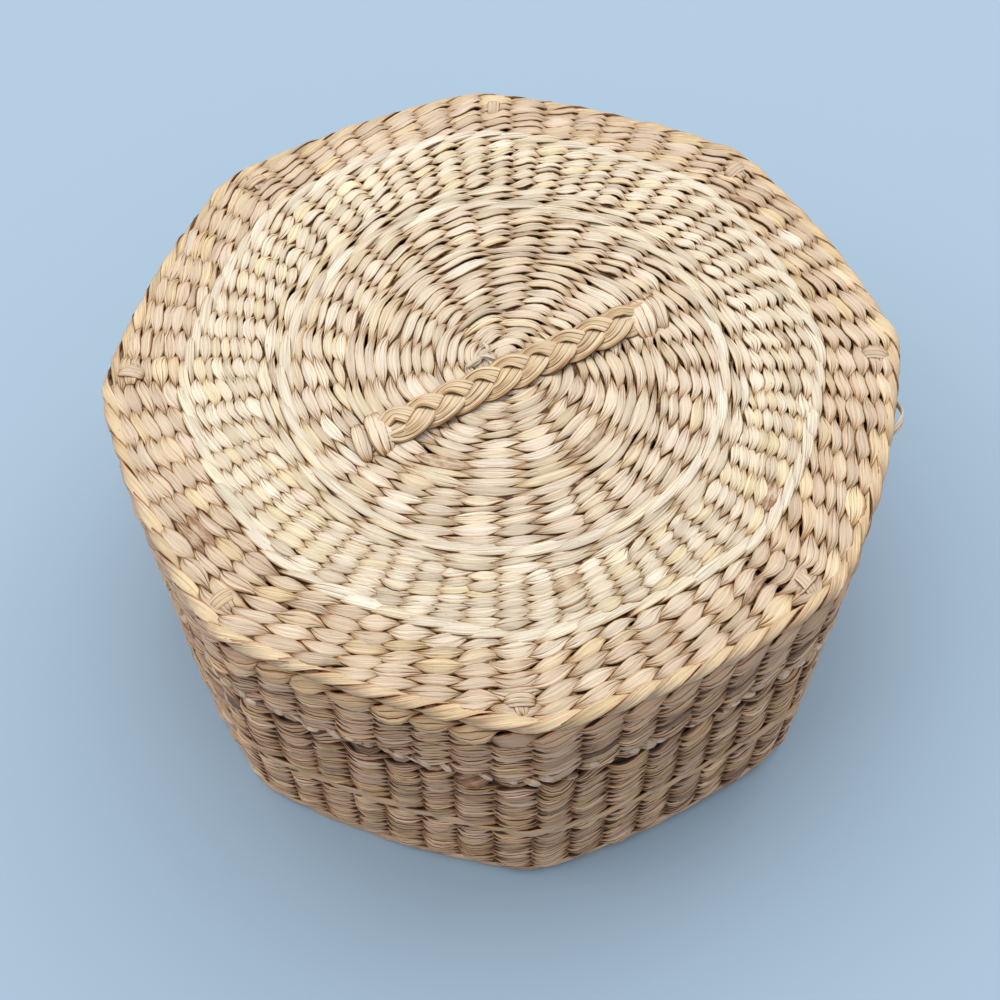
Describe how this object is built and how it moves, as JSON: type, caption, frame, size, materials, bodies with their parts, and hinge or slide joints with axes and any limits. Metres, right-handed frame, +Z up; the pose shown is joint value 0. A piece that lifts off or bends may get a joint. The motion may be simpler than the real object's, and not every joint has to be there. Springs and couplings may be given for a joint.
{
  "type": "lidded basket",
  "caption": "Octagonal twined-grass basket with a lift-off lid that slips over its neck and a flat plaited handle across the lid.",
  "frame": {"origin": "centre of the underside, on the surface that the basket stands on", "axes": "+Z up through the lid; one of the eight corners points along -Y, one along +X"},
  "size_m": [0.23, 0.23, 0.1115],
  "materials": {
    "dull_grass": "dull pinkish beige dried grass, twined",
    "bright_grass": "cream dried grass, twined, faint sheen",
    "pale_grass": "pale long strands of dried grass, twisted",
    "rope_grass": "yellow-cream thick strands, twisted or plaited",
    "tan_grass": "grey-tan dried grass, twined",
    "cut_ends": "clipped stake ends with pale pith"
  },
  "bodies": {
    "basket": {"base_centre_weave": "dull_grass", "base_ring_twist": "pale_grass", "base_outer_weave": "tan_grass", "base_edge_twist": "tan_grass", "wall_lower_weave": "tan_grass", "wall_accent_twist": "rope_grass", "wall_upper_weave": "tan_grass", "neck_weave": "dull_grass", "body_rim_binding": "rope_grass"},
    "lid": {"lid_centre_weave": "dull_grass", "lid_inner_ring_twist": "pale_grass", "lid_middle_weave": "bright_grass", "lid_outer_ring_twist": "pale_grass", "lid_outer_weave": "bright_grass", "lid_rim_rope": "rope_grass", "lid_skirt_weave": "tan_grass", "lid_trimmed_edge": "cut_ends", "corner_loop_1": "dull_grass", "corner_loop_2": "dull_grass", "corner_loop_3": "dull_grass", "corner_loop_4": "dull_grass", "corner_loop_5": "dull_grass", "corner_loop_6": "dull_grass", "corner_loop_7": "dull_grass", "corner_loop_8": "dull_grass", "handle_strand_1": "rope_grass", "handle_strand_2": "rope_grass", "handle_strand_3": "rope_grass", "handle_wrap_left": "pale_grass", "handle_wrap_right": "pale_grass"}
  },
  "joints": [
    {"name": "lid_lift", "type": "slide", "parent": "basket", "child": "lid", "axis": [0, 0, 1], "range_m": [0, 0.12]}
  ]
}
